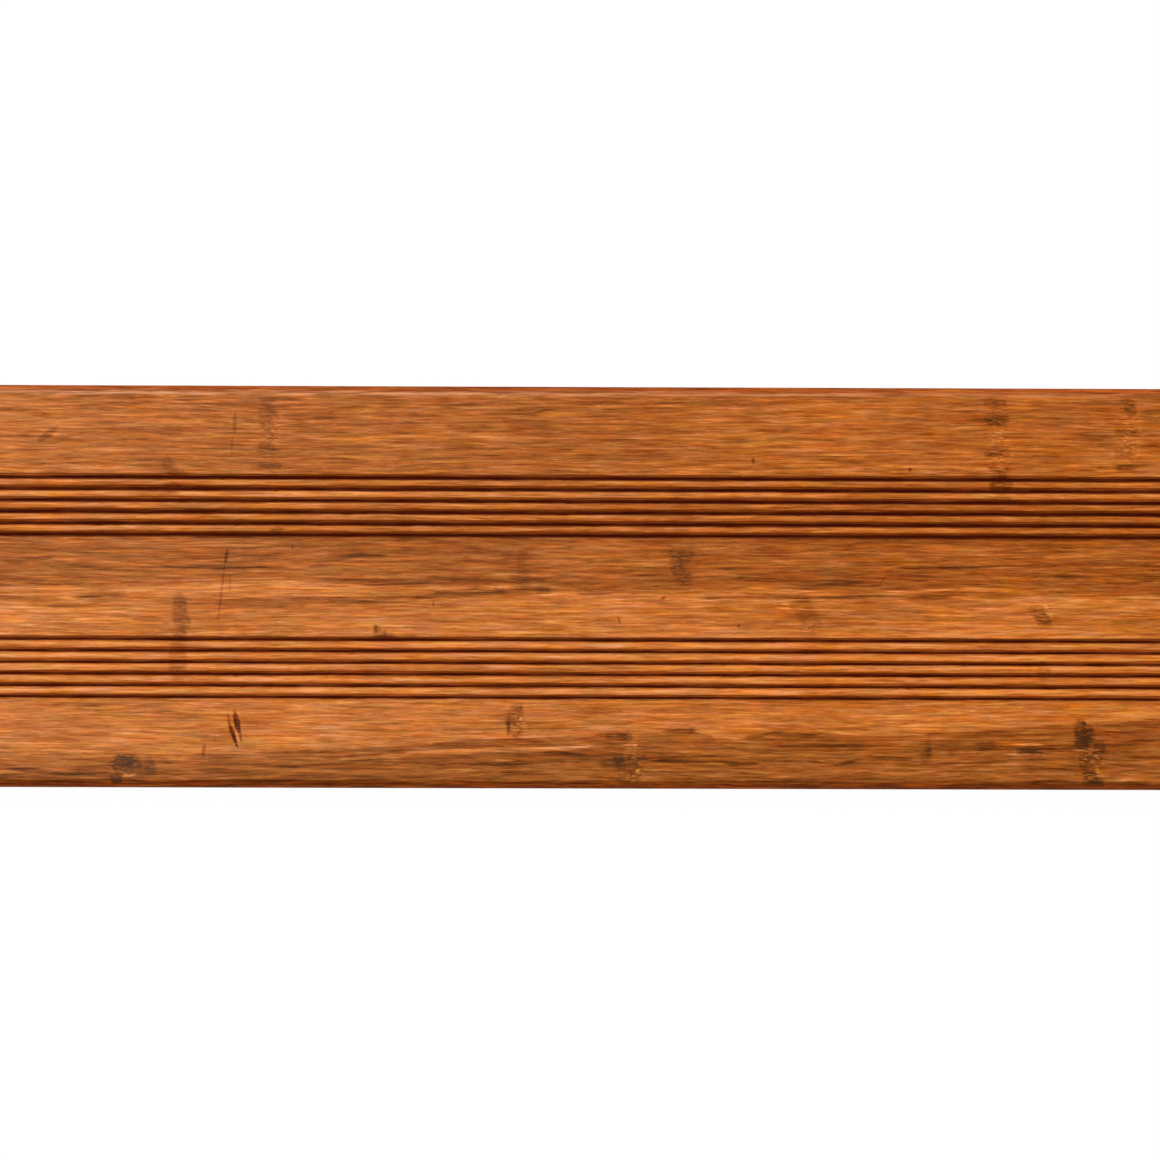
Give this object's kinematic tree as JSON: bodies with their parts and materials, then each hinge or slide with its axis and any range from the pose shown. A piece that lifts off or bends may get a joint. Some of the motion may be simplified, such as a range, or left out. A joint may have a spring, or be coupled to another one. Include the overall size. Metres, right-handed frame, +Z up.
{
  "type": "decking board",
  "caption": "Flat deck board of pressed bamboo strands, with reeded bands between plain lands on its face and a slot for hidden clips along each side.",
  "frame": {"origin": "middle of the board's back, on the plane of the joists", "axes": "+X along the grain and the board's length, +Y across its width, +Z up out of the reeded face"},
  "size_m": [1.85, 0.14, 0.02],
  "materials": {
    "pressed_bamboo": "oiled, carbonised bamboo strands in warm brown"
  },
  "bodies": {
    "root": {"decking_board": "pressed_bamboo"}
  },
  "joints": []
}
